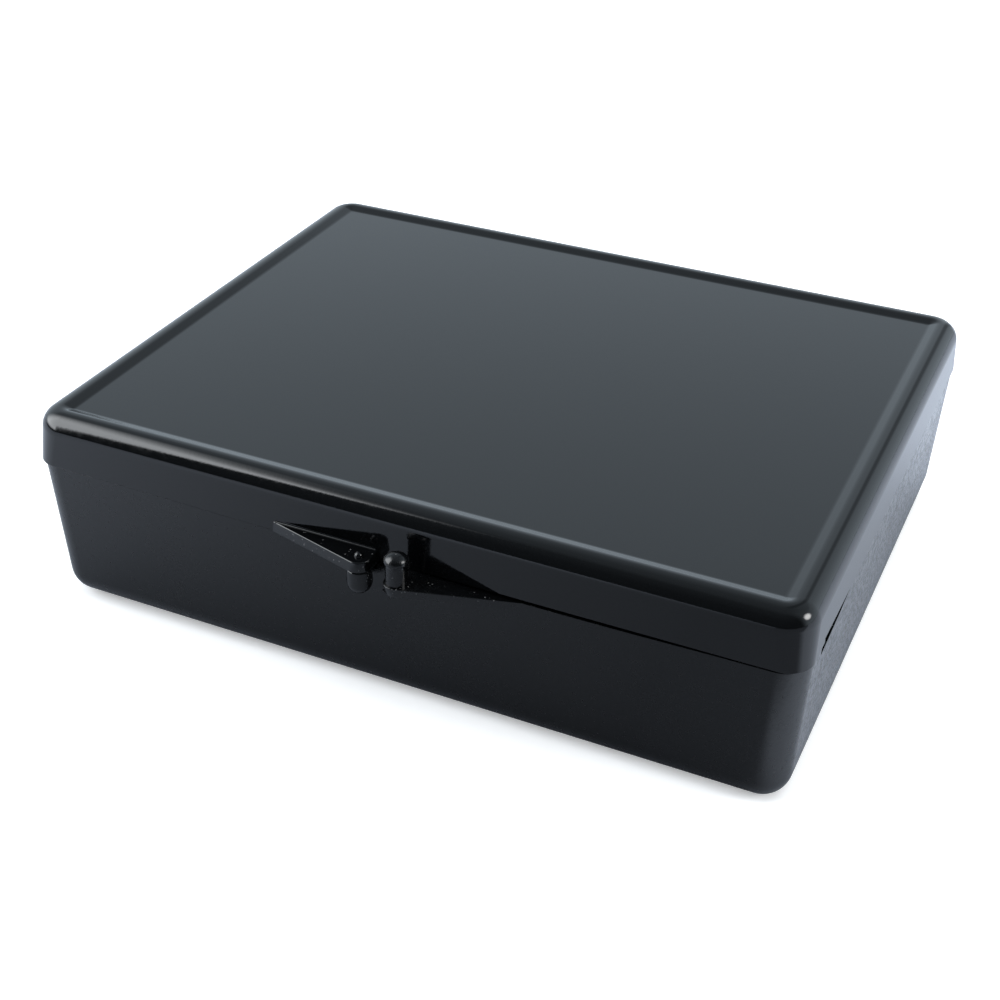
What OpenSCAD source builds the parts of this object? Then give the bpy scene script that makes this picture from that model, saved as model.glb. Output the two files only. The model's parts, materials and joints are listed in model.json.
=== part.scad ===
// Hinged two-deck card case: a moulded tray, a moulded lid with a raised rim, two hinge pins.
// Origin: centre of the resting face under the tray. X to the right, Y to the hinge, Z up.

/* [Case] */
// Width over the lid's skirt
case_w = 140; // [120:1:180]
// Depth over the lid's skirt, without the catch and the hinge
case_d = 111; // [95:1:150]
// Height of the seam above the resting face
seam_z = 28.2; // [22:0.2:45]
// Height of the lid above the seam
lid_h = 10.0; // [9:0.2:16]

/* [Walls] */
// Thickness of the tray's floor
floor_t = 2.0; // [1.6:0.1:3]
// Thickness of the lid's skirt
skirt_t = 1.6; // [1.4:0.1:2]
// Thickness of the lid's top panel
panel_t = 1.8; // [1.4:0.1:2.4]
// Taper of the outer walls in degrees
draft = 2.0; // [0.5:0.1:3]
// Taper of the inner walls in degrees
inner_draft = 1.0; // [0.5:0.1:1.5]
// How far the lid's skirt overhangs the tray
skirt_step = 0.25; // [0.1:0.05:0.6]
// Open seam between the lid and the tray's shoulder
seam_gap = 0.15; // [0.1:0.05:0.3]

/* [Edges] */
// Radius of the tray's upright corners
tray_corner_r = 5.0; // [4.5:0.1:8]
// Radius of the tray's bottom edge
tray_edge_r = 5.0; // [2:0.1:5]
// Radius of the lid's upright corners
lid_corner_r = 4.5; // [4:0.1:6]
// Radius of the lid's top edge
lid_edge_r = 3.5; // [1.5:0.1:3.8]
// Width of the raised rim round the top panel
rim_w = 6.0; // [4.8:0.1:8]
// Depth of the top panel below the rim
panel_recess = 0.65; // [0.2:0.05:1]

/* [Locating lip] */
// Height of the tray's lip above the seam
lip_h = 2.4; // [1.5:0.1:4]
// Thickness of the tray's lip
lip_t = 1.0; // [0.8:0.1:1.5]
// Clearance between the lip and the lid's skirt
lip_gap = 0.25; // [0.15:0.05:0.5]

/* [Catch] */
// Thickness of each wing
wing_t = 1.8; // [1.2:0.1:2.5]
// Distance from the case's middle to the buried tip of the lid's wing, on the left
lid_tip_x = 21.0; // [15:0.5:30]
// Distance from the case's middle to the buried tip of the tray's wing, on the right
tray_tip_x = 24.5; // [16:0.5:30]
// Radius of the lid's down-pointing peg
lid_peg_r = 2.15; // [1.5:0.05:2.3]
// Radius of the tray's up-pointing peg
tray_peg_r = 1.8; // [1.4:0.05:2.1]
// Reach of the lid's peg below the seam
lid_peg_drop = 5.2; // [4:0.1:8]
// Reach of the tray's peg above the seam
tray_peg_rise = 5.5; // [4:0.1:7]

/* [Hinge] */
// Distance of each hinge from the case's middle
hinge_x = 40; // [25:1:50]
// Radius of the hinge pins
pin_r = 1.0; // [0.8:0.05:1.2]
// Opening angle at which the lid's heels meet the tray's back wall
open_angle = 110; // [100:1:120]

/* [Hidden] */

plastic = [0.05, 0.05, 0.06];
steel = [0.72, 0.73, 0.75];
hull_fn = 32;
round_fn = 64;

// Heights
shoulder_z = seam_z - seam_gap / 2;
lid_z = seam_z + seam_gap / 2;
lid_top_z = seam_z + lid_h;
panel_top_z = lid_top_z - panel_recess;
panel_under_z = panel_top_z - panel_t;
land_h = 0.5;

// Insets of each wall from the lid's skirt, in plan
lip_out = skirt_t + lip_gap;
lip_in = lip_out + lip_t;
tray_foot_in = skirt_step + shoulder_z * tan(draft);
tray_floor_in = lip_in + (shoulder_z - floor_t) * tan(inner_draft);
lid_crown_in = lid_h * tan(draft);
lid_roof_in = skirt_t + (panel_under_z - lid_z) * tan(inner_draft);
lip_corner_r = lid_corner_r - skirt_t - lip_gap;
cavity_corner_r = lip_corner_r - lip_t;
cavity_edge_r = 1.5;
floor_corner_r = 3.0;

// Pry relief in the right side: a wedge cut out of the lid's skirt and the tray's shoulder
relief_front_y = -45.5;
relief_mid_y = -35;
relief_back_y = -24;
relief_rise = 0.9;
relief_front_drop = 2.4;
relief_mid_drop = 1.7;
relief_in = (skirt_t + lip_out) / 2;

// Catch: the middle of each peg, as distances from the case's middle and from the front wall
lid_peg_x = -3.3;
lid_peg_out = 2.7;
lid_wing_end_r = 2.4;
tray_peg_x = 4.45;
tray_peg_out = 3.85;
tray_wing_end_r = 2.2;
wing_root = 1.2;
tip_bury = 0.3;
wing_lift = 0.1;
front_y = -case_d / 2;
nib_r = 0.7;

// Hinge
back_y = case_d / 2;
axis_out = 2.6;
axis_y = back_y + axis_out;
knuckle_r = 2.3;
knuckle_gap = 0.3;
lid_knuckle_w = 5.4;
tray_knuckle_w = 5.0;
run_clear = 0.05;
press_squeeze = 0.02;
arm_lift = 0.2;
tray_arm_drop = 7.5;
lid_arm_rise = 6.0;
heel_reach = axis_out + skirt_step - 0.05;
heel_h = 1.7;
heel_side = 0.3;
heel_core = 1.4;
pin_len = lid_knuckle_w + 2 * knuckle_gap + 2 * tray_knuckle_w;

// Copies a child to the four corners of a rectangle that lies inset from the skirt's outline
module at_corners(inset, corner_r) {
  for (sx = [-1, 1], sy = [-1, 1])
    translate([sx * (case_w / 2 - inset - corner_r), sy * (case_d / 2 - inset - corner_r), 0])
      children();
}

// A disc whose rim is rounded by edge_r, centred on z = 0
module edge_ring(corner_r, edge_r) {
  rotate_extrude($fn = hull_fn) intersection() {
    translate([corner_r - edge_r, 0]) circle(r = edge_r, $fn = hull_fn);
    translate([0, -edge_r]) square([corner_r, 2 * edge_r]);
  }
}

// A rounded slab from z_low up to z_high with straight sides
module rounded_slab(inset, corner_r, z_low, z_high) {
  plan_w = case_w - 2 * inset;
  plan_d = case_d - 2 * inset;
  slab_h = z_high - z_low;
  translate([-plan_w / 2 + corner_r, -plan_d / 2, z_low])
    cube([plan_w - 2 * corner_r, plan_d, slab_h]);
  translate([-plan_w / 2, -plan_d / 2 + corner_r, z_low])
    cube([plan_w, plan_d - 2 * corner_r, slab_h]);
  at_corners(inset, corner_r)
    translate([0, 0, z_low]) cylinder(r = corner_r, h = slab_h, $fn = round_fn);
}

// Tray, outside: tapered walls on a rounded foot
module tray_outer() {
  hull() {
    at_corners(tray_foot_in, tray_corner_r)
      translate([0, 0, tray_edge_r]) edge_ring(tray_corner_r, tray_edge_r);
    at_corners(skirt_step, tray_corner_r)
      translate([0, 0, shoulder_z - land_h])
        cylinder(r = tray_corner_r, h = land_h, $fn = hull_fn);
  }
}

// Tray, inside: the space for the cards
module tray_cavity() {
  hull() {
    at_corners(tray_floor_in, floor_corner_r)
      translate([0, 0, floor_t + cavity_edge_r]) edge_ring(floor_corner_r, cavity_edge_r);
    at_corners(lip_in, cavity_corner_r)
      translate([0, 0, shoulder_z]) cylinder(r = cavity_corner_r, h = lip_h + 1, $fn = hull_fn);
  }
}

// Lid, outside: tapered skirt with a rounded top edge
module lid_outer() {
  hull() {
    at_corners(0, lid_corner_r)
      translate([0, 0, lid_z]) cylinder(r = lid_corner_r, h = land_h, $fn = hull_fn);
    at_corners(lid_crown_in, lid_corner_r)
      translate([0, 0, lid_top_z - lid_edge_r]) edge_ring(lid_corner_r, lid_edge_r);
  }
}

// Lid, inside
module lid_cavity() {
  hull() {
    at_corners(skirt_t, lid_corner_r - skirt_t)
      translate([0, 0, lid_z - 1])
        cylinder(r = lid_corner_r - skirt_t, h = 1 + land_h, $fn = hull_fn);
    at_corners(lid_roof_in, lid_corner_r - skirt_t)
      translate([0, 0, panel_under_z - cavity_edge_r])
        edge_ring(lid_corner_r - skirt_t, cavity_edge_r);
  }
}

// One wing of the catch in plan: a triangle from its tip, which is buried in the wall at
// x = -tip_dist, to a round end about the peg at (0, -peg_out). The wall's face is at y = 0.
module wing(tip_dist, peg_out, end_r) {
  reach = peg_out + tip_bury;
  tangent_a = atan(reach / tip_dist) + asin(end_r / norm([tip_dist, reach]));
  linear_extrude(height = wing_t)
    polygon([
      [-tip_dist, tip_bury],
      [-end_r * sin(tangent_a), -peg_out - end_r * cos(tangent_a)],
      [0, -peg_out],
      [end_r, -peg_out],
      [end_r, wing_root],
      [-tip_dist, wing_root]
    ]);
  translate([0, -peg_out, 0]) cylinder(r = end_r, h = wing_t, $fn = round_fn);
}

// A peg standing on z = 0 with a domed end, peg_h tall
module domed_peg(peg_r, peg_h) {
  cylinder(r = peg_r, h = peg_h - peg_r, $fn = round_fn);
  translate([0, 0, peg_h - peg_r]) sphere(r = peg_r, $fn = round_fn);
}

// Lid's wing with its down-pointing peg and the nib above it
module lid_catch() {
  wing_z = lid_z + wing_lift;
  translate([lid_peg_x, front_y, wing_z])
    wing(lid_tip_x + lid_peg_x, lid_peg_out, lid_wing_end_r);
  translate([lid_peg_x, front_y - lid_peg_out, wing_z + wing_t / 2]) {
    mirror([0, 0, 1]) domed_peg(lid_peg_r, wing_z + wing_t / 2 - seam_z + lid_peg_drop);
    domed_peg(nib_r, wing_t / 2 + nib_r);
  }
}

// Tray's wing with its up-pointing peg, the mirror image of the lid's
module tray_catch() {
  translate([tray_peg_x, front_y, shoulder_z - wing_t]) mirror([1, 0, 0])
    wing(tray_tip_x - tray_peg_x, tray_peg_out, tray_wing_end_r);
  translate([tray_peg_x, front_y - tray_peg_out, shoulder_z - wing_t / 2])
    domed_peg(tray_peg_r, wing_t / 2 + seam_gap / 2 + tray_peg_rise);
}

// Places a child on both hinges, with x = 0 in the middle of the hinge and the pin's axis at 0
module at_hinges() {
  for (side = [-1, 1]) translate([side * hinge_x, axis_y, seam_z]) children();
}

// A bar along X that starts at x_low, in the hinge's own place
module x_rod(rod_r, x_low, rod_w) {
  translate([x_low, 0, 0]) rotate([0, 90, 0]) cylinder(r = rod_r, h = rod_w, $fn = round_fn);
}

// A knuckle arm: an outline of [y, z] points drawn out along X
module x_prism(x_low, prism_w, outline) {
  translate([x_low, 0, 0]) rotate([90, 0, 90]) linear_extrude(height = prism_w) polygon(outline);
}

// Where a straight gusset leaves the knuckle
gusset_y = knuckle_r * sin(45);
wall_bite = axis_out + skirt_step + 1.2;

module tray_knuckles() {
  for (side = [-1, 1]) {
    mid_x = side * (lid_knuckle_w / 2 + knuckle_gap + tray_knuckle_w / 2);
    low_x = mid_x - tray_knuckle_w / 2;
    x_rod(knuckle_r, low_x, tray_knuckle_w);
    x_prism(low_x, tray_knuckle_w, [
      [-wall_bite, -arm_lift], [0, -arm_lift], [gusset_y, -gusset_y], [-wall_bite, -tray_arm_drop]
    ]);
  }
}

// The heel's flat face turns round to lie on the tray's back wall when the lid is open
module lid_knuckle() {
  low_x = -lid_knuckle_w / 2;
  x_rod(knuckle_r, low_x, lid_knuckle_w);
  x_prism(low_x, lid_knuckle_w, [
    [-axis_out - 1, arm_lift], [0, arm_lift], [gusset_y, gusset_y], [-axis_out - 1, lid_arm_rise]
  ]);
  rotate([open_angle - 180, 0, 0]) translate([low_x + heel_side, heel_core, 0])
    cube([lid_knuckle_w - 2 * heel_side, heel_reach - heel_core, heel_h]);
}

module pry_relief() {
  translate([case_w / 2 - relief_in, 0, seam_z]) rotate([90, 0, 90])
    linear_extrude(height = relief_in + 1)
      polygon([
        [relief_front_y, -relief_front_drop],
        [relief_mid_y, -relief_mid_drop],
        [relief_back_y, 0],
        [relief_front_y, relief_rise]
      ]);
}

module base_tray() {
  color(plastic) difference() {
    union() {
      tray_outer();
      rounded_slab(lip_out, lip_corner_r, shoulder_z - 1, seam_z + lip_h);
      tray_catch();
      at_hinges() tray_knuckles();
    }
    tray_cavity();
    pry_relief();
    at_hinges() x_rod(pin_r - press_squeeze, -pin_len / 2 - 1, pin_len + 2);
  }
}

module lid() {
  color(plastic) difference() {
    union() {
      lid_outer();
      lid_catch();
      at_hinges() lid_knuckle();
    }
    lid_cavity();
    translate([-case_w / 2 + rim_w, -case_d / 2 + rim_w, panel_top_z])
      cube([case_w - 2 * rim_w, case_d - 2 * rim_w, 2 * panel_recess]);
    pry_relief();
    at_hinges() x_rod(pin_r + run_clear, -pin_len / 2, pin_len);
  }
}

module hinge_pin(side) {
  color(steel) translate([side * hinge_x, axis_y, seam_z]) x_rod(pin_r, -pin_len / 2, pin_len);
}

module hinge_pin_left() {
  hinge_pin(-1);
}

module hinge_pin_right() {
  hinge_pin(1);
}

base_tray();
lid();
hinge_pin_left();
hinge_pin_right();
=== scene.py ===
"""Hinged two-deck card case in glossy black moulded plastic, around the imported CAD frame."""

import json
import math
import random

import bmesh
import bpy
from mathutils import Matrix, Vector


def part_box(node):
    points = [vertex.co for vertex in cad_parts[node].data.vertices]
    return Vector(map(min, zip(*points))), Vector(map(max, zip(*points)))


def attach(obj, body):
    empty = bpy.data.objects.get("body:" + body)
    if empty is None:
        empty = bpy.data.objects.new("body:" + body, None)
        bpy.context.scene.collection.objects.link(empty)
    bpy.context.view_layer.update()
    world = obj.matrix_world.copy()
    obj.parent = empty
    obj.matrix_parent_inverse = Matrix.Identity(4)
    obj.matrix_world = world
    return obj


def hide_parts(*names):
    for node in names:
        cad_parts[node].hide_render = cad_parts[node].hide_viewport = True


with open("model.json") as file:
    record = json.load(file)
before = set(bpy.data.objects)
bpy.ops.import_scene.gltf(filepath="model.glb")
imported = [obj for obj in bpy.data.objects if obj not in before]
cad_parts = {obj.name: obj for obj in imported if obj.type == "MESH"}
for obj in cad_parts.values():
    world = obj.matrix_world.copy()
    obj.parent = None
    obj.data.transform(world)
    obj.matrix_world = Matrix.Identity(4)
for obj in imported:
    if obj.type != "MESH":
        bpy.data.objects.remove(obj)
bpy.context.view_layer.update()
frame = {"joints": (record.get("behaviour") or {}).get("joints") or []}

MM = 0.001
RANDOM_SEED = 11

# The case, in millimetres: the hinge's axis, the width, the top and the pins are read from the frame
HINGE = next(j for j in frame["joints"] if j["name"] == "lid_hinge")
AXIS_Y = HINGE["pos_m"][1] / MM
SEAM_Z = HINGE["pos_m"][2] / MM
LID_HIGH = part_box("lid")[1] / MM
PIN_LOW, PIN_HIGH = (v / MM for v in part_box("hinge_pin_right"))
HALF_W = LID_HIGH.x
LID_TOP = LID_HIGH.z
AXIS_OUT = 2.6
HALF_D = AXIS_Y - AXIS_OUT

# Wall sections
SEAM_GAP = 0.15
LID_Z = SEAM_Z + SEAM_GAP / 2
SHOULDER_Z = SEAM_Z - SEAM_GAP / 2
DRAFT = math.tan(math.radians(2.0))
INNER_DRAFT = math.tan(math.radians(1.0))
SKIRT_T = 1.6
SKIRT_STEP = 0.25
FLOOR_T = 2.0
PANEL_T = 1.8
LIP_PLAY = 0.25
LIP_T = 1.0
LIP_OUT = SKIRT_T + LIP_PLAY
LIP_IN = LIP_OUT + LIP_T
LIP_H = 2.4

# Lid rim
LID_CORNER = 4.5
RIM_R = 3.45
RIM_INNER_R = 2.6
RIM_BEVEL = math.radians(20)
RIM_FILLET_R = 2.0
PANEL_RECESS = 0.65
CROWN_ROUNDER = 1.5
BREAK_R = 0.08
ROOF_EDGE_R = 1.5

# Tray
TRAY_CORNER = 5.0
TRAY_EDGE_R = 5.0
FLOOR_ROUNDER = 2.0
SMALLEST_CORNER = 0.3

# Catch: each peg's place from the middle and from the front wall, its radius, the radius of the
# wing's round end, the place of the wing's tip, and how far the tip stands out of the wall
WING_T = 1.8
WING_LIFT = 0.1
WING_ROOT = 1.2
WING_DRAFT = 0.34
WING_FILLET = 0.35
LID_CATCH = {"peg_x": -2.95, "peg_out": 2.7, "peg_r": 2.15, "end_r": 2.4, "tip_x": -20.4, "blunt": 0.45}
TRAY_CATCH = {"peg_x": 4.45, "peg_out": 3.85, "peg_r": 1.85, "end_r": 2.2, "tip_x": 24.5, "blunt": -0.3}
LID_PEG_DROP = 4.9
TRAY_PEG_RISE = 5.4
NIB_R = 0.75
HEAD_R = 2.05
HEAD_H = 1.7
HEAD_WAIST = 0.14
NECK_R = 1.7
PEG_GROOVE_R = 1.85
PEG_GROOVE_TOP = 1.15
PEG_ROOT = 0.9

# Hinge
HINGE_X = (PIN_LOW.x + PIN_HIGH.x) / 2
PIN_LEN = PIN_HIGH.x - PIN_LOW.x
PIN_R = (PIN_HIGH.z - PIN_LOW.z) / 2
KNUCKLE_R = 2.3
LID_KNUCKLE_W = 5.4
LID_KNUCKLE_BITE = 1.0
LID_GUSSET_H = 6.0
KNUCKLE_GAP = 0.3
TRAY_KNUCKLE_W = 5.0
TRAY_KNUCKLE_BITE = 1.2
TRAY_GUSSET_H = 7.5
ARM_LIFT = 0.2
HEEL_PLAY = 0.05
HEEL_FACE = AXIS_OUT + SKIRT_STEP - HEEL_PLAY
HEEL_H = 1.7
HEEL_INSET = 0.3
HEEL_IN = 1.4
OPEN_ANGLE = math.radians(HINGE["range_deg"][1])
KNUCKLE_BEVEL = 0.2
HOLE_PLAY = 0.05
PIN_CHAMFER = 0.2

# Pry relief: a wedge cut out of the right side, across the seam, as (y, height above the seam)
RELIEF = [(-45.5, -2.4), (-35.0, -1.7), (-24.0, 0.0), (-45.5, 0.9)]
RELIEF_IN = (SKIRT_T + LIP_OUT) / 2

# Mesh fineness
CORNER_SEGS = 14
SIDE_STEPS = 16
ARC_SEGS = 10
ROUND_SEGS = 48
PIN_SEGS = 32
RIM_STEPS = 8
EDGE_STEPS = 24
BREAK_STEPS = 4
INSIDE_STEPS = 6
FOOT_STEPS = 14
WING_STEPS = 20
BARREL_STEPS = 30

# Each flat cap's last rings lie this far in from the curve before them
PANEL_RINGS = (3.0, 0.6)
CAP_RUN = 8.0

# Slack in metres for a level edge or a point on the axis, and how far cutters reach past the walls
FLAT = 1e-9
CUT_PAST = 1.0


def new_object(name, bm):
    mesh = bpy.data.meshes.new(name)
    bm.to_mesh(mesh)
    bm.free()
    obj = bpy.data.objects.new(name, mesh)
    bpy.context.scene.collection.objects.link(obj)
    return obj


# ---- Lofted case walls ----------------------------------------------------------------------

def side_stations():
    """Fractions along the straight sides where every ring has a vertex, evenly spaced."""
    return [i / SIDE_STEPS for i in range(1, SIDE_STEPS)]


def ring_points(inset, corner_r, z):
    """A rounded rectangle, counter-clockwise from the right side's back end."""
    half_w, half_d = HALF_W - inset, HALF_D - inset
    r = max(corner_r, SMALLEST_CORNER)
    corners = [
        (half_w - r, half_d - r, 0.0),
        (-half_w + r, half_d - r, 90.0),
        (-half_w + r, -half_d + r, 180.0),
        (half_w - r, -half_d + r, 270.0),
    ]
    arcs = []
    for cx, cy, start in corners:
        quarter = []
        for i in range(CORNER_SEGS + 1):
            a = math.radians(start + 90.0 * i / CORNER_SEGS)
            quarter.append((cx + r * math.cos(a), cy + r * math.sin(a)))
        arcs.append(quarter)
    points = []
    for k in range(4):
        points += arcs[k]
        end, start = arcs[k][-1], arcs[(k + 1) % 4][0]
        for f in side_stations():
            points.append((end[0] + (start[0] - end[0]) * f, end[1] + (start[1] - end[1]) * f))
    return [Vector((x, y, z)) * MM for x, y in points]


def loft(name, rings):
    """Skins rings of equal length, in order from the first cap to the last."""
    bm = bmesh.new()
    rows = [[bm.verts.new(p) for p in ring] for ring in rings]
    count = len(rows[0])
    for low, high in zip(rows, rows[1:]):
        for i in range(count):
            j = (i + 1) % count
            bm.faces.new((low[i], low[j], high[j], high[i]))
    bm.faces.new(list(reversed(rows[0])))
    bm.faces.new(rows[-1])
    bmesh.ops.recalc_face_normals(bm, faces=bm.faces)
    return new_object(name, bm)


def arc(center_inset, center_z, radius, start_deg, end_deg, steps=ARC_SEGS):
    """(inset, z) points; 0 degrees points inwards from the centre and 90 points up."""
    out = []
    for i in range(steps + 1):
        a = math.radians(start_deg + (end_deg - start_deg) * i / steps)
        out.append((center_inset + radius * math.cos(a), center_z + radius * math.sin(a)))
    return out


def lid_profile():
    """(inset, z) from the top panel, over the rim and the skirt, to the inside roof, and how many
    of the points are outside."""
    panel_z = LID_TOP - PANEL_RECESS
    crest_in = (LID_TOP - LID_Z - RIM_R) * DRAFT + RIM_R
    # the rim's inner side: a fillet out of the panel, a straight bevel, and a round up to the crest
    turn_in, turn_drop = RIM_INNER_R * math.sin(RIM_BEVEL), RIM_INNER_R * (1 - math.cos(RIM_BEVEL))
    foot_in = crest_in + turn_in + (PANEL_RECESS - turn_drop) / math.tan(RIM_BEVEL)
    fillet_in = foot_in + RIM_FILLET_R * math.tan(RIM_BEVEL / 2)
    profile = [(fillet_in + run, panel_z) for run in PANEL_RINGS]
    for i in range(RIM_STEPS + 1):
        tilt = RIM_BEVEL * i / RIM_STEPS
        rise = RIM_FILLET_R * (1 - math.cos(tilt))
        profile.append((fillet_in - RIM_FILLET_R * math.sin(tilt), panel_z + rise))
    for i in range(RIM_STEPS + 1):
        tilt = RIM_BEVEL * (1 - i / RIM_STEPS)
        drop = RIM_INNER_R * (1 - math.cos(tilt))
        profile.append((crest_in + RIM_INNER_R * math.sin(tilt), LID_TOP - drop))
    profile += arc(crest_in, LID_TOP - RIM_R, RIM_R, 90, 178, EDGE_STEPS)[1:]
    profile += arc(BREAK_R, LID_Z + BREAK_R, BREAK_R, 180, 270, BREAK_STEPS)
    outer = len(profile)
    profile += arc(SKIRT_T - BREAK_R, LID_Z + BREAK_R, BREAK_R, 270, 360, BREAK_STEPS)
    roof_z = panel_z - PANEL_T
    roof_in = SKIRT_T + (roof_z - LID_Z) * INNER_DRAFT
    profile += arc(roof_in + ROOF_EDGE_R, roof_z - ROOF_EDGE_R, ROOF_EDGE_R, 180, 90, INSIDE_STEPS)
    profile.append((roof_in + CAP_RUN, roof_z))
    return profile, outer


def lid_shell():
    rings = []
    profile, outer = lid_profile()
    for i, (inset, z) in enumerate(profile):
        corner = LID_CORNER - inset
        if i < outer:
            height = min((z - LID_Z) / (LID_TOP - RIM_R - LID_Z), 1.0)
            corner += CROWN_ROUNDER * height
        rings.append(ring_points(inset, corner, z))
    return loft("lid", rings)


def tray_profile():
    """(inset, z) from the underside, up the wall, over the lip, to the inside floor, and how many
    of the points come before the lip."""
    foot_in = SKIRT_STEP + SHOULDER_Z * DRAFT
    profile = [(foot_in + TRAY_EDGE_R + CAP_RUN, 0.0)]
    profile += arc(foot_in + TRAY_EDGE_R, TRAY_EDGE_R, TRAY_EDGE_R, 270, 182, FOOT_STEPS)
    profile += arc(SKIRT_STEP + BREAK_R, SHOULDER_Z - BREAK_R, BREAK_R, 180, 90, BREAK_STEPS)
    outer = len(profile)
    lip_top = SEAM_Z + LIP_H
    profile.append((LIP_OUT, SHOULDER_Z))
    profile += arc(LIP_OUT + BREAK_R, lip_top - BREAK_R, BREAK_R, 180, 90, BREAK_STEPS)
    profile += arc(LIP_IN - BREAK_R, lip_top - BREAK_R, BREAK_R, 90, 0, BREAK_STEPS)
    profile.append((LIP_IN, SHOULDER_Z))
    floor_in = LIP_IN + (SHOULDER_Z - FLOOR_T) * INNER_DRAFT
    profile += arc(floor_in + ROOF_EDGE_R, FLOOR_T + ROOF_EDGE_R, ROOF_EDGE_R, 180, 270, INSIDE_STEPS)
    profile.append((floor_in + CAP_RUN, FLOOR_T))
    return profile, outer


def tray_shell():
    rings = []
    profile, outer = tray_profile()
    foot_in = SKIRT_STEP + SHOULDER_Z * DRAFT
    for i, (inset, z) in enumerate(profile):
        if i >= outer:
            corner = LID_CORNER - inset
            if z < SHOULDER_Z - BREAK_R:
                corner += FLOOR_ROUNDER
        elif z < TRAY_EDGE_R:
            corner = TRAY_CORNER - (inset - foot_in)
        else:
            corner = TRAY_CORNER
        rings.append(ring_points(inset, corner, z))
    return loft("base_tray", rings)


# ---- Turned and extruded details ------------------------------------------------------------

def turned(name, profile, segments=ROUND_SEGS):
    """A solid of revolution about Z from (radius, z) points in mm; both ends close on the axis."""
    bm = bmesh.new()
    rows = []
    for radius, z in profile:
        if radius < FLAT / MM:
            rows.append([bm.verts.new((0, 0, z * MM))])
            continue
        row = []
        for i in range(segments):
            a = 2 * math.pi * i / segments
            row.append(bm.verts.new((radius * math.cos(a) * MM, radius * math.sin(a) * MM, z * MM)))
        rows.append(row)
    for low, high in zip(rows, rows[1:]):
        for i in range(segments):
            j = (i + 1) % segments
            a, b = low[i % len(low)], low[j % len(low)]
            c, d = high[j % len(high)], high[i % len(high)]
            corners = [v for k, v in enumerate((a, b, c, d)) if v not in (a, b, c, d)[:k]]
            if len(corners) > 2:
                bm.faces.new(corners)
    bmesh.ops.recalc_face_normals(bm, faces=bm.faces)
    return new_object(name, bm)


def bevel_rims(bm, bevel, segments, profile):
    """Rounds the edges of a plate that lie level."""
    rims = [e for e in bm.edges if abs(e.verts[0].co.z - e.verts[1].co.z) < FLAT]
    bmesh.ops.bevel(
        bm,
        geom=rims,
        offset=bevel * MM,
        segments=segments,
        profile=profile,
        affect="EDGES",
        clamp_overlap=True,
    )


def extruded(name, outline, depth, bevel):
    """An outline of (a, b) points in mm in the XY plane, depth mm tall, with its rims bevelled."""
    bm = bmesh.new()
    base = bm.faces.new([bm.verts.new((a * MM, b * MM, 0)) for a, b in outline])
    top = bmesh.ops.extrude_face_region(bm, geom=[base])["geom"]
    raised = [v for v in top if isinstance(v, bmesh.types.BMVert)]
    bmesh.ops.translate(bm, vec=(0, 0, depth * MM), verts=raised)
    bmesh.ops.recalc_face_normals(bm, faces=bm.faces)
    if bevel:
        bevel_rims(bm, bevel, 2, 0.7)
    return new_object(name, bm)


def tapered(name, low, high, depth, bevel):
    """A plate between two outlines of equal length, depth mm apart, with its rims rounded."""
    bm = bmesh.new()
    rows = []
    for outline, z in ((low, 0), (high, depth)):
        rows.append([bm.verts.new((a * MM, b * MM, z * MM)) for a, b in outline])
    bm.faces.new(list(reversed(rows[0])))
    bm.faces.new(rows[1])
    count = len(low)
    for i in range(count):
        j = (i + 1) % count
        bm.faces.new((rows[0][i], rows[0][j], rows[1][j], rows[1][i]))
    bmesh.ops.recalc_face_normals(bm, faces=bm.faces)
    bevel_rims(bm, bevel, 3, 0.5)
    return new_object(name, bm)


def dome(radius, height):
    """Profile of a peg with a domed end, standing on z = 0."""
    profile = [(0, 0), (radius, 0)]
    for i in range(ARC_SEGS + 1):
        a = math.pi / 2 * i / ARC_SEGS
        profile.append((radius * math.cos(a), height - radius + radius * math.sin(a)))
    profile[-1] = (0, height)
    return profile


def wing_outline(catch, inset):
    """The wing in plan, seen from above, with the wall's face along y = 0 and the peg at x = 0."""
    side = -1 if catch["tip_x"] < catch["peg_x"] else 1
    tip = abs(catch["tip_x"] - catch["peg_x"])
    radius = catch["end_r"] - inset
    blunt = catch["blunt"] - inset
    reach = catch["peg_out"] - blunt
    tangent = math.atan2(reach, tip) + math.asin(radius / math.hypot(tip, reach))
    points = [(tip, -blunt)]
    first, last = math.pi / 2 - tangent, math.pi
    for i in range(WING_STEPS + 1):
        a = -first - (last - first) * i / WING_STEPS
        points.append((radius * math.cos(a), -catch["peg_out"] + radius * math.sin(a)))
    points += [(-radius, WING_ROOT), (tip, WING_ROOT)]
    points = [(side * x, y) for x, y in points]
    return points if side > 0 else list(reversed(points))


def placed(obj, matrix):
    obj.data.transform(matrix)
    return obj


def offset(x, y, z):
    return Matrix.Translation((x * MM, y * MM, z * MM))


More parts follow.
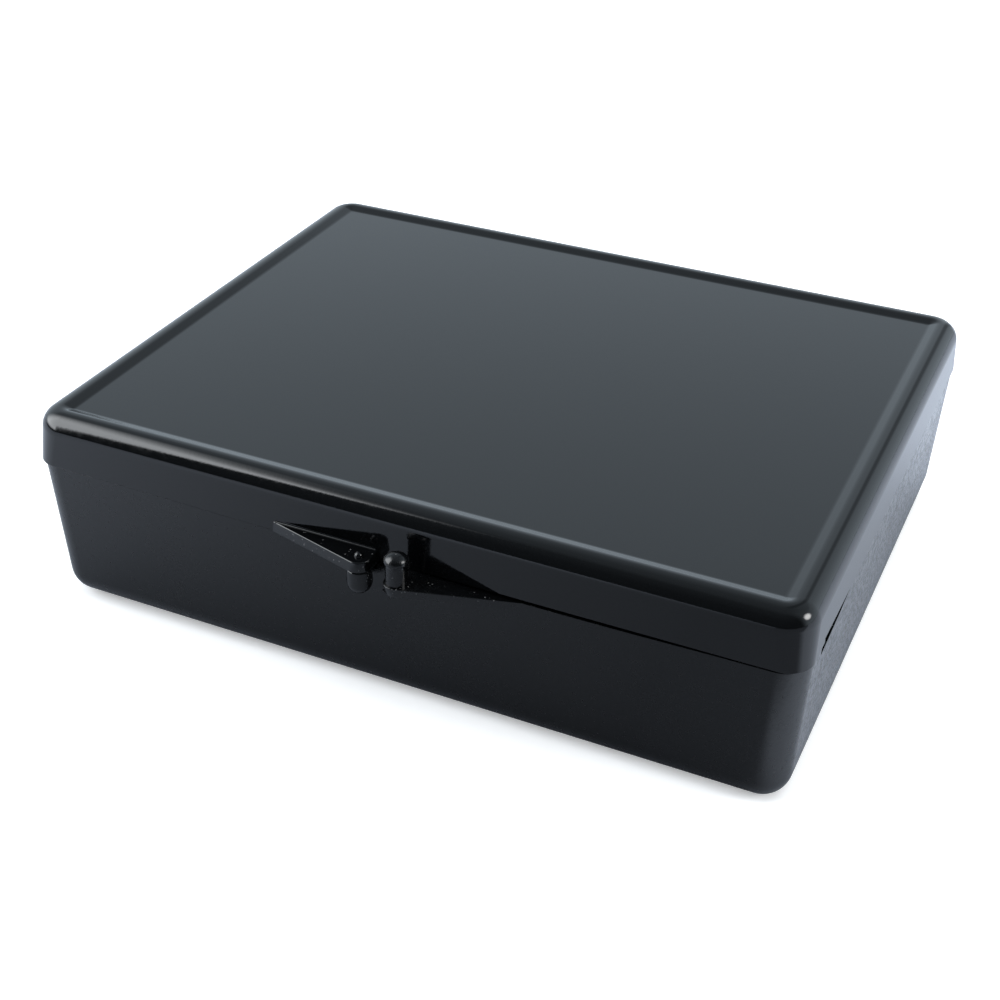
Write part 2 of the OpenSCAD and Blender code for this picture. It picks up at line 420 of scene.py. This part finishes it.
def lid_catch():
    c = LID_CATCH
    wing_z = LID_Z + WING_LIFT
    wing = tapered("wing", wing_outline(c, 0), wing_outline(c, WING_DRAFT), WING_T, 0.14)
    placed(wing, offset(c["peg_x"], -HALF_D, wing_z))
    profile = dome(c["peg_r"], wing_z + PEG_ROOT - SEAM_Z + LID_PEG_DROP)
    # the groove round the peg, just under the wing, ends in a small chamfer
    profile[1:2] = [
        (PEG_GROOVE_R, 0),
        (PEG_GROOVE_R, PEG_GROOVE_TOP),
        (c["peg_r"] - 0.12, PEG_GROOVE_TOP + 0.1),
        (c["peg_r"], PEG_GROOVE_TOP + 0.3),
    ]
    peg = turned("peg", profile)
    hanging = Matrix.Rotation(math.pi, 4, "X")
    placed(peg, offset(c["peg_x"], -HALF_D - c["peg_out"], wing_z + PEG_ROOT) @ hanging)
    nib = turned("nib", dome(NIB_R, PEG_ROOT + NIB_R), ROUND_SEGS // 2)
    placed(nib, offset(c["peg_x"], -HALF_D - c["peg_out"], wing_z + WING_T - PEG_ROOT))
    return [wing, peg, nib, root_fillet(c["tip_x"] + 0.4, c["peg_x"] + 1.6, wing_z + WING_T)]


def root_fillet(x_low, x_high, z):
    """The hollow round where a wing's top runs up into the front wall."""
    r = WING_FILLET
    # the strip's back and foot are buried in the wall and in the wing
    outline = [(-r, -0.3), (0.5, -0.3), (0.5, r)]
    for i in range(INSIDE_STEPS + 1):
        a = math.pi / 2 * (1 - i / INSIDE_STEPS)
        outline.append((-r + r * math.sin(a), r - r * math.cos(a)))
    strip = extruded("fillet", outline, x_high - x_low, 0)
    foot = (z - LID_Z) * DRAFT
    return along_x(strip, x_low, -HALF_D + foot, z)


def peg_with_head(rise):
    """Profile of the tray's peg: a shaft, a narrow neck and a flattened head, widest low down."""
    under = rise - HEAD_H
    shaft_r = TRAY_CATCH["peg_r"]
    profile = [(0, 0), (shaft_r, 0), (shaft_r, under - 0.5), (NECK_R, under - 0.25), (NECK_R, under)]
    for i in range(-3, ARC_SEGS + 1):
        a = math.pi / 2 * i / ARC_SEGS
        flat = HEAD_H * (1 - HEAD_WAIST) if a > 0 else HEAD_H * 0.3
        profile.append((HEAD_R * math.cos(a), under + HEAD_H * HEAD_WAIST + flat * math.sin(a)))
    profile[-1] = (0, rise)
    return profile


def tray_catch():
    c = TRAY_CATCH
    top_z = SHOULDER_Z
    wing = tapered("wing", wing_outline(c, WING_DRAFT), wing_outline(c, 0), WING_T, 0.1)
    placed(wing, offset(c["peg_x"], -HALF_D, top_z - WING_T))
    peg = turned("peg", peg_with_head(SEAM_Z + TRAY_PEG_RISE - top_z + PEG_ROOT))
    placed(peg, offset(c["peg_x"], -HALF_D - c["peg_out"], top_z - PEG_ROOT))
    return [wing, peg] + gate_crumbs()


# The ragged gate remnant under the round end of the tray's wing: its middle and half extents in mm.
# Crumbs that don't touch the wing are dropped from the tray later.
CRUMBS = 24
CRUMB_MIDDLE = Vector((2.5, -HALF_D - 4.3, SEAM_Z - 2.5))
CRUMB_SPREAD = Vector((1.8, 0.8, 1.1))
CRUMB_R = (0.22, 0.42)
CRUMB_RAGGED = (0.6, 1.25)


def gate_crumbs():
    dice = random.Random(RANDOM_SEED)
    out = []
    for _ in range(CRUMBS):
        bm = bmesh.new()
        bmesh.ops.create_icosphere(bm, subdivisions=1, radius=dice.uniform(*CRUMB_R) * MM)
        for v in bm.verts:
            v.co *= dice.uniform(*CRUMB_RAGGED)
        spot = Vector(dice.uniform(-1, 1) * reach for reach in CRUMB_SPREAD)
        bmesh.ops.translate(bm, vec=(CRUMB_MIDDLE + spot) * MM, verts=bm.verts)
        out.append(new_object("crumb", bm))
    return out


NICK_OUTLINE = [(-0.14, -0.5), (0.14, -0.5), (0.1, 0.45), (-0.1, 0.45)]
NICK_DEPTH = 1.2
NICK_TURN = math.radians(28)
NICK_PLACE = (11.2, -HALF_D - 4.45, SHOULDER_Z - 1.0)


def wing_nick():
    """A small cutter at the outer edge of the tray's wing, which it only grazes."""
    nick = extruded("nick", NICK_OUTLINE, NICK_DEPTH, 0)
    return placed(nick, offset(*NICK_PLACE) @ Matrix.Rotation(NICK_TURN, 4, "Z"))


def pry_relief():
    """The wedge as a cutter that reaches out past the right side."""
    return along_x(extruded("relief", RELIEF, RELIEF_IN + CUT_PAST, 0), HALF_W - RELIEF_IN, 0)


# The front seam isn't quite straight: both edges rise toward the left corner, and the tray's bows
# down from its peg to the right corner and stays a little low along the right side. Each pair is
# where a bend starts and where it is full or over, in mm.
LEFT_RISE = 0.45
LEFT_RISE_X = (-60, -12)
TRAY_BOW = 0.62
TRAY_BOW_X = (3.5, 21)
TRAY_BOW_END_X = (34, 64)
RIGHT_LOW = 0.22
RIGHT_LOW_X = (52, 64)
BOW_FROM_FRONT = (4.0, 12.0)
LID_BEND_H = 6.0
TRAY_BEND_H = 12.0


def smooth(value, low, high):
    t = min(max((value - low) / (high - low), 0.0), 1.0)
    return t * t * (3 - 2 * t)


def warp_seam(obj, still_z, seam_z, bowed):
    """Bends one part's edge at the seam; the bend fades out from seam_z to nothing at still_z."""
    for v in obj.data.vertices:
        x, y, z = (c / MM for c in v.co)
        front = 1 - smooth(y, *(reach - HALF_D for reach in BOW_FROM_FRONT))
        shift = LEFT_RISE * front * (1 - smooth(x, *LEFT_RISE_X))
        if bowed:
            flatter = 1 - (1 - RIGHT_LOW / TRAY_BOW) * smooth(x, *TRAY_BOW_END_X)
            bow = TRAY_BOW * smooth(x, *TRAY_BOW_X) * flatter
            shift -= max(bow * front, RIGHT_LOW * smooth(x, *RIGHT_LOW_X))
        if seam_z > still_z:
            shift *= smooth(z, still_z, seam_z)
        else:
            shift *= 1 - smooth(z, seam_z, still_z)
        v.co.z += shift * MM


def knuckle_outline(up, wall_bite, far_z):
    """Barrel and gusset in the (y, z) plane about the pin; up = 1 for the lid, -1 for the tray."""
    start = math.pi - math.asin(ARM_LIFT / KNUCKLE_R)
    end = math.pi * 9 / 4
    points = [(-wall_bite, ARM_LIFT)]
    for i in range(BARREL_STEPS + 1):
        a = start + (end - start) * i / BARREL_STEPS
        points.append((KNUCKLE_R * math.cos(a), KNUCKLE_R * math.sin(a)))
    points.append((-wall_bite, far_z))
    points = [(y, up * z) for y, z in points]
    return points if up > 0 else list(reversed(points))


def along_x(obj, x_low, y=AXIS_Y, z=SEAM_Z):
    """Stands an XY outline up in the YZ plane, with its origin on the hinge axis or at (y, z)."""
    turn = Matrix(((0, 0, 1, 0), (1, 0, 0, 0), (0, 1, 0, 0), (0, 0, 0, 1)))
    return placed(obj, offset(x_low, y, z) @ turn)


def pin_hole(mid_x, radius, length):
    half = length / 2
    return along_x(turned("hole", [(0, -half), (radius, -half), (radius, half), (0, half)]), mid_x)


def lid_knuckle(mid_x):
    low_x = mid_x - LID_KNUCKLE_W / 2
    outline = knuckle_outline(1, AXIS_OUT + LID_KNUCKLE_BITE, LID_GUSSET_H)
    barrel = extruded("knuckle", outline, LID_KNUCKLE_W, KNUCKLE_BEVEL)
    heel_outline = [(HEEL_IN, 0), (HEEL_FACE, 0), (HEEL_FACE, HEEL_H), (HEEL_IN, HEEL_H)]
    heel = extruded("heel", heel_outline, LID_KNUCKLE_W - 2 * HEEL_INSET, 0.15)
    heel.data.transform(Matrix.Rotation(OPEN_ANGLE - math.pi, 4, "Z"))
    return [along_x(barrel, low_x), along_x(heel, low_x + HEEL_INSET)]


def tray_knuckles(mid_x):
    out = []
    outline = knuckle_outline(-1, AXIS_OUT + SKIRT_STEP + TRAY_KNUCKLE_BITE, TRAY_GUSSET_H)
    for side in (-1, 1):
        center = mid_x + side * (LID_KNUCKLE_W / 2 + KNUCKLE_GAP + TRAY_KNUCKLE_W / 2)
        barrel = extruded("knuckle", outline, TRAY_KNUCKLE_W, KNUCKLE_BEVEL)
        out.append(along_x(barrel, center - TRAY_KNUCKLE_W / 2))
    return out


def keep_modified(obj):
    """Replaces an object's mesh with what its modifiers make of it."""
    deps = bpy.context.evaluated_depsgraph_get()
    mesh = bpy.data.meshes.new_from_object(obj.evaluated_get(deps))
    obj.modifiers.clear()
    old = obj.data
    obj.data = mesh
    bpy.data.meshes.remove(old)
    mesh.name = obj.name


def combine(target, tools, operation):
    """Joins or cuts with each tool in turn, and leaves one mesh."""
    for tool in tools:
        mod = target.modifiers.new("combine", "BOOLEAN")
        mod.operation, mod.solver, mod.object = operation, "EXACT", tool
        keep_modified(target)
        bpy.data.objects.remove(tool)


def drop_loose(obj):
    """Deletes every piece of the mesh that doesn't touch the largest one."""
    bm = bmesh.new()
    bm.from_mesh(obj.data)
    unseen = set(bm.verts)
    islands = []
    while unseen:
        island = set()
        waiting = [next(iter(unseen))]
        while waiting:
            vert = waiting.pop()
            if vert not in island:
                island.add(vert)
                waiting += [e.other_vert(vert) for e in vert.link_edges]
        islands.append(island)
        unseen -= island
    islands.sort(key=len)
    for island in islands[:-1]:
        bmesh.ops.delete(bm, geom=list(island), context="VERTS")
    bm.to_mesh(obj.data)
    bm.free()


SHARP_ANGLE = math.radians(32)


def shade(obj):
    """Smooth shading between sharp edges, with normals that follow the larger faces."""
    for poly in obj.data.polygons:
        poly.use_smooth = True
    obj.data.set_sharp_from_angle(angle=SHARP_ANGLE)
    mod = obj.modifiers.new("normals", "WEIGHTED_NORMAL")
    mod.keep_sharp = True
    keep_modified(obj)


def build_lid():
    lid = lid_shell()
    warp_seam(lid, LID_Z + LID_BEND_H, LID_Z, False)
    parts = lid_catch()
    for mid_x in (-HINGE_X, HINGE_X):
        parts += lid_knuckle(mid_x)
    combine(lid, parts, "UNION")
    cuts = [pin_hole(x, PIN_R + HOLE_PLAY, PIN_LEN) for x in (-HINGE_X, HINGE_X)] + [pry_relief()]
    combine(lid, cuts, "DIFFERENCE")
    shade(lid)
    return lid


def build_tray():
    """The tray; its holes are as wide as the pins, which sit fast in them."""
    tray = tray_shell()
    parts = tray_catch()
    for mid_x in (-HINGE_X, HINGE_X):
        parts += tray_knuckles(mid_x)
    combine(tray, parts, "UNION")
    drop_loose(tray)
    cuts = [pin_hole(x, PIN_R, PIN_LEN + 2 * CUT_PAST) for x in (-HINGE_X, HINGE_X)]
    cuts += [pry_relief(), wing_nick()]
    combine(tray, cuts, "DIFFERENCE")
    warp_seam(tray, SHOULDER_Z - TRAY_BEND_H, SHOULDER_Z - 1, True)
    shade(tray)
    return tray


def build_pin(name, mid_x):
    half = PIN_LEN / 2
    end_r, end_z = PIN_R - PIN_CHAMFER, half - PIN_CHAMFER
    profile = [(0, -half), (end_r, -half), (PIN_R, -end_z), (PIN_R, end_z), (end_r, half), (0, half)]
    pin = along_x(turned(name, profile, PIN_SEGS), mid_x)
    shade(pin)
    return pin


# ---- Materials --------------------------------------------------------------------------------

class Graph:
    """Short calls for making and joining shader nodes."""

    def __init__(self, tree):
        self.nodes, self.links = tree.nodes, tree.links

    def feed(self, socket, value):
        if isinstance(value, bpy.types.NodeSocket):
            self.links.new(value, socket)
        else:
            socket.default_value = value

    def math(self, operation, a, b=0.0):
        node = self.nodes.new("ShaderNodeMath")
        node.operation = operation
        self.feed(node.inputs[0], a)
        self.feed(node.inputs[1], b)
        return node.outputs[0]

    def dot(self, a, axis):
        node = self.nodes.new("ShaderNodeVectorMath")
        node.operation = "DOT_PRODUCT"
        self.feed(node.inputs[0], a)
        node.inputs[1].default_value = axis
        return node.outputs["Value"]

    def step(self, value, low, high, to_low=0.0, to_high=1.0):
        """A smooth step from to_low at low to to_high at high."""
        node = self.nodes.new("ShaderNodeMapRange")
        node.interpolation_type = "SMOOTHSTEP"
        self.feed(node.inputs["Value"], value)
        node.inputs["From Min"].default_value = low
        node.inputs["From Max"].default_value = high
        node.inputs["To Min"].default_value = to_low
        node.inputs["To Max"].default_value = to_high
        return node.outputs["Result"]

    def ramp(self, value, stops, tint=(1, 1, 1)):
        """A colour ramp over (position, brightness) stops, in one tint."""
        node = self.nodes.new("ShaderNodeValToRGB")
        self.feed(node.inputs["Fac"], value)
        elements = node.color_ramp.elements
        for i, (position, level) in enumerate(stops):
            item = elements[i] if i < 2 else elements.new(position)
            item.position = position
            item.color = (*(level * t for t in tint), 1)
        return node.outputs["Color"]

    def noise(self, place, scale, detail):
        node = self.nodes.new("ShaderNodeTexNoise")
        node.inputs["Scale"].default_value = scale
        node.inputs["Detail"].default_value = detail
        self.feed(node.inputs["Vector"], place)
        return node.outputs["Fac"]

    def stretch(self, place, factors):
        node = self.nodes.new("ShaderNodeVectorMath")
        node.operation = "MULTIPLY"
        self.feed(node.inputs[0], place)
        node.inputs[1].default_value = factors
        return node.outputs["Vector"]

    def mix(self, factor, a, b):
        node = self.nodes.new("ShaderNodeMix")
        node.data_type = "RGBA"
        for i, v in ((0, factor), (6, a), (7, b)):
            self.feed(node.inputs[i], v)
        return node.outputs[2]


def principled(name, color, roughness, metallic=0.0):
    """A new material, the graph of its nodes and its shader."""
    mat = bpy.data.materials.new(name)
    mat.use_nodes = True
    shader = mat.node_tree.nodes["Principled BSDF"]
    shader.inputs["Base Color"].default_value = (*color, 1)
    shader.inputs["Roughness"].default_value = roughness
    shader.inputs["IOR"].default_value = 1.5
    shader.inputs["Metallic"].default_value = metallic
    return mat, Graph(mat.node_tree), shader


BLACK = (0.0016, 0.0018, 0.0021)
GRAIN_DEPTH = 0.00002
SMEAR_SCALE = 55
SMEAR_RANGE = (0.45, 0.75)
SMEAR_ROUGHNESS = 0.04
MOTTLE_SCALE = 1100
MOTTLE_RANGE = (0.3, 0.7)
DUST_SCALE = 1500
DUST_RANGE = (0.26, 0.12)
DUST_PATCH_SCALE = 700
DUST_PATCH_RANGE = (0.50, 0.60)
DUST_TONE = 0.09


def black_plastic(name, roughness, grain_strength, grain_scale):
    """Black moulded plastic: a fine grain, faint smears in the polish and dust on the catch."""
    mat, g, shader = principled(name, BLACK, roughness)
    place = g.nodes.new("ShaderNodeTexCoord").outputs["Object"]
    bump = g.nodes.new("ShaderNodeBump")
    bump.inputs["Strength"].default_value = grain_strength
    bump.inputs["Distance"].default_value = GRAIN_DEPTH
    g.feed(bump.inputs["Height"], g.noise(place, grain_scale, 3))
    g.feed(shader.inputs["Normal"], bump.outputs["Normal"])
    smear = g.step(g.noise(place, SMEAR_SCALE, 3), *SMEAR_RANGE, 0.0, SMEAR_ROUGHNESS)
    smoother, rougher = roughness * 0.7, roughness * (1.3 + grain_strength)
    mottle = g.step(g.noise(place, MOTTLE_SCALE, 2), *MOTTLE_RANGE, smoother, rougher)
    g.feed(shader.inputs["Roughness"], g.math("ADD", smear, mottle))
    specks = g.nodes.new("ShaderNodeTexVoronoi")
    specks.inputs["Scale"].default_value = DUST_SCALE
    g.feed(specks.inputs["Vector"], place)
    dust = g.step(specks.outputs["Distance"], *DUST_RANGE)
    patches = g.step(g.noise(place, DUST_PATCH_SCALE, 1), *DUST_PATCH_RANGE)
    dust = g.math("MULTIPLY", dust, patches)
    # only what stands out in front of the case is dusty
    on_catch = g.step(g.dot(place, (0, 1 / MM, 0)), -HALF_D - 0.2, -HALF_D - 0.9)
    dust = g.math("MULTIPLY", dust, on_catch)
    g.feed(shader.inputs["Base Color"], g.mix(dust, (*BLACK, 1), (DUST_TONE, DUST_TONE, DUST_TONE, 1)))
    return mat


RING_SCALE = 9000


def pin_steel():
    """Drawn wire: fine rings round the pin's length."""
    mat, g, shader = principled("pin_steel", (0.6, 0.6, 0.61), 0.25, metallic=1.0)
    place = g.nodes.new("ShaderNodeTexCoord").outputs["Object"]
    rings = g.noise(g.stretch(place, (1, 0.1, 0.1)), RING_SCALE, 2)
    g.feed(shader.inputs["Roughness"], g.step(rings, 0.3, 0.7, 0.2, 0.38))
    return mat


# ---- Studio -----------------------------------------------------------------------------------

# The studio is a tent: (sine of elevation, brightness) stops for the wall behind the case and the
# dim side where the camera stands. BEHIND is where one turns into the other, by the direction's y.
BACK_WALL = [
    (0.0, 1.12),
    (0.25, 1.02),
    (0.38, 0.92),
    (0.48, 0.82),
    (0.585, 0.77),
    (0.65, 0.56),
    (0.86, 0.45),
    (1.0, 0.28),
]
CAMERA_SIDE = [(0.0, 0.07), (0.6, 0.08), (0.9, 0.14), (1.0, 0.24)]
BEHIND = (-0.35, 0.05)
TENT_TINT = (0.86, 1.0, 1.12)

# The softbox on the left: a crisp front edge, along a plane through the case, and a long fade at the
# back, the top and the foot
SOFTBOX_LEVEL = 6.0
SOFTBOX_TINT = (0.96, 1.0, 1.04)
SOFTBOX_FRONT_WAY = (-0.788, 0.616, -0.142)
SOFTBOX_FRONT_EDGE = (-0.05, 0.01)
SOFTBOX_BACK_FADE = (0.30, -0.15)
SOFTBOX_TOP_FADE = (0.92, 0.77)
SOFTBOX_FOOT_FADE = (0.05, 0.25)

# A small round lamp up on the right, and a dim seam in the tent's back wall
LAMP_WAY = Vector((0.85, 0.15, 0.48)).normalized()
LAMP_EDGE = (0.968, 0.999)
LAMP_LEVEL = 13.0
STRIPE_WAY = (0.988, -0.156, 0.0)
STRIPE_EDGE = (0.15, 0.03)
STRIPE_BACK = (0.2, 0.5)
STRIPE_DEPTH = 0.5

# What the camera itself sees of the studio
SEEN_WALL = 1.0
SEEN_FLOOR = 0.94


def studio_world():
    world = bpy.data.worlds.new("studio")
    bpy.context.scene.world = world
    world.use_nodes = True
    g = Graph(world.node_tree)
    background = g.nodes["Background"]
    way = g.nodes.new("ShaderNodeTexCoord").outputs["Generated"]
    height = g.dot(way, (0, 0, 1))
    back = g.dot(way, (0, 1, 0))
    behind = g.step(back, *BEHIND)
    tent = g.mix(behind, g.ramp(height, CAMERA_SIDE, TENT_TINT), g.ramp(height, BACK_WALL, TENT_TINT))
    across = g.math("ABSOLUTE", g.dot(way, STRIPE_WAY))
    stripe = g.math("MULTIPLY", g.step(across, *STRIPE_EDGE), g.step(back, *STRIPE_BACK))
    tent = g.mix(g.math("MULTIPLY", stripe, STRIPE_DEPTH), tent, (0.0, 0.0, 0.0, 1))
    lamp = g.step(g.dot(way, LAMP_WAY), *LAMP_EDGE)
    tent = g.mix(lamp, tent, (LAMP_LEVEL, LAMP_LEVEL, LAMP_LEVEL, 1))
    box = g.step(g.dot(way, SOFTBOX_FRONT_WAY), *SOFTBOX_FRONT_EDGE)
    box = g.math("MULTIPLY", box, g.step(back, *SOFTBOX_BACK_FADE))
    box = g.math("MULTIPLY", box, g.step(height, *SOFTBOX_TOP_FADE))
    box = g.math("MULTIPLY", box, g.step(height, *SOFTBOX_FOOT_FADE))
    studio_light = g.mix(box, tent, (*(SOFTBOX_LEVEL * t for t in SOFTBOX_TINT), 1))
    seen = g.nodes.new("ShaderNodeLightPath").outputs["Is Camera Ray"]
    white = (SEEN_WALL, SEEN_WALL, SEEN_WALL, 1)
    g.feed(background.inputs["Color"], g.mix(seen, studio_light, white))
    background.inputs["Strength"].default_value = 1.0


# The tent's roof, a square area light that lights the case and the floor but isn't mirrored (metres)
ROOF_WAY = Vector((0.1, 0.3, 0.95)).normalized()
ROOF_DISTANCE = 1.2
ROOF_SIZE = 1.6
ROOF_RADIANCE = 2.2


def studio_roof():
    data = bpy.data.lights.new("tent_roof", "AREA")
    data.shape = "RECTANGLE"
    data.size = data.size_y = ROOF_SIZE
    data.energy = ROOF_RADIANCE * ROOF_SIZE * ROOF_SIZE * math.pi
    roof = bpy.data.objects.new("tent_roof", data)
    roof.location = Vector((0, 0, SEAM_Z * MM)) + ROOF_WAY * ROOF_DISTANCE
    roof.rotation_mode = "QUATERNION"
    roof.rotation_quaternion = (-ROOF_WAY).to_track_quat("-Z", "Y")
    roof.visible_glossy = False
    bpy.context.scene.collection.objects.link(roof)


# The floor's half width in metres
FLOOR_HALF = 6.0

# Painted light and shade on the floor, which only the case's reflections see, from left to right, as
# (place in mm, tone)
# up to FLOOR_SPAN either side: painted light on the left that fades to painted shade, and a painted
# pool of light further right that fades in between two places in x and two in y
FLOOR_SPAN = 120.0
FLOOR_PAINTED_LIGHT_TONES = [(-120, 0.55), (-85, 0.44), (-70, 0.40), (-25, 0.28), (40, 0.195), (110, 0.195)]
FLOOR_GLOW = 0.3
FLOOR_PAINTED_LIGHT_POOL = 0.6
FLOOR_LIGHT_POOL_X = (60, 74)
FLOOR_LIGHT_POOL_Y = (-92, -62)
FLOOR_TINT = (0.93, 1.0, 1.13)


def studio_floor():
    bm = bmesh.new()
    corners = [(-1, -1), (1, -1), (1, 1), (-1, 1)]
    bm.faces.new([bm.verts.new((x * FLOOR_HALF, y * FLOOR_HALF, 0)) for x, y in corners])
    floor = new_object("floor", bm)
    mat, g, shader = principled("floor_with_painted_light", (0.9, 0.9, 0.9), 0.9)
    shader.inputs["Specular IOR Level"].default_value = 0.0
    shader.inputs["Emission Color"].default_value = (1, 1, 1, 1)
    spot = g.nodes.new("ShaderNodeTexCoord").outputs["Object"]
    # the floor's painted light and shade, seen only in reflections; the camera sees the floor evenly
    # pale
    across = g.math("ADD", g.dot(spot, (1 / (2 * FLOOR_SPAN * MM), 0, 0)), 0.5)
    stops = [(0.5 + x / (2 * FLOOR_SPAN), tone) for x, tone in FLOOR_PAINTED_LIGHT_TONES]
    painted_floor_light = g.ramp(across, stops, FLOOR_TINT)
    # a painted pool of light on the floor to the right of the case
    light_pool_x = g.step(g.dot(spot, (1 / MM, 0, 0)), *FLOOR_LIGHT_POOL_X)
    light_pool_y = g.step(g.dot(spot, (0, 1 / MM, 0)), *FLOOR_LIGHT_POOL_Y)
    right = g.math("MULTIPLY", light_pool_x, light_pool_y)
    painted_floor_light = g.mix(right, painted_floor_light, (*(FLOOR_PAINTED_LIGHT_POOL * t for t in FLOOR_TINT), 1))
    seen = g.nodes.new("ShaderNodeLightPath").outputs["Is Camera Ray"]
    pale = (SEEN_FLOOR, SEEN_FLOOR, SEEN_FLOOR, 1)
    g.feed(shader.inputs["Base Color"], g.mix(seen, painted_floor_light, pale))
    g.feed(shader.inputs["Emission Strength"], g.math("MULTIPLY", seen, FLOOR_GLOW))
    floor.data.materials.append(mat)


# The camera: where it looks from and at, in mm
CAM_AZIMUTH = math.radians(24.25)
CAM_ELEVATION = math.radians(32.79)
CAM_ROLL = math.radians(0.82)
CAM_DISTANCE = 300.0
CAM_AIM = Vector((0.0, -10.1, 13.7))
CAM_LENS = 57.51


def studio_camera():
    data = bpy.data.cameras.new("camera")
    data.lens = CAM_LENS
    data.sensor_width = 36.0
    data.clip_start, data.clip_end = 0.01, 30
    cam = bpy.data.objects.new("camera", data)
    bpy.context.scene.collection.objects.link(cam)
    east = Vector((math.cos(CAM_AZIMUTH), math.sin(CAM_AZIMUTH), 0))
    level = Vector((-math.sin(CAM_AZIMUTH), math.cos(CAM_AZIMUTH), 0))
    ahead = level * math.cos(CAM_ELEVATION) - Vector((0, 0, math.sin(CAM_ELEVATION)))
    upright = east.cross(ahead)
    right = east * math.cos(CAM_ROLL) + upright * math.sin(CAM_ROLL)
    up = upright * math.cos(CAM_ROLL) - east * math.sin(CAM_ROLL)
    place = (CAM_AIM - ahead * CAM_DISTANCE) * MM
    turn = Matrix((right, up, -ahead)).transposed().to_4x4()
    cam.matrix_world = Matrix.Translation(place) @ turn
    bpy.context.scene.camera = cam


def studio():
    bpy.context.scene.view_settings.view_transform = "Standard"
    studio_world()
    studio_roof()
    studio_floor()
    studio_camera()


lid_plastic = black_plastic("lid_plastic", 0.06, 0.2, 1800)
tray_plastic = black_plastic("tray_plastic", 0.12, 1.0, 1300)
steel = pin_steel()

lid = build_lid()
lid.data.materials.append(lid_plastic)
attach(lid, "lid_body")
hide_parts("lid")

tray = build_tray()
tray.data.materials.append(tray_plastic)
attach(tray, "tray_body")
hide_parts("base_tray")

for side, mid_x in (("left", -HINGE_X), ("right", HINGE_X)):
    pin = build_pin("hinge_pin_" + side + "_turned", mid_x)
    pin.data.materials.append(steel)
    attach(pin, "tray_body")
    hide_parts("hinge_pin_" + side)

studio()
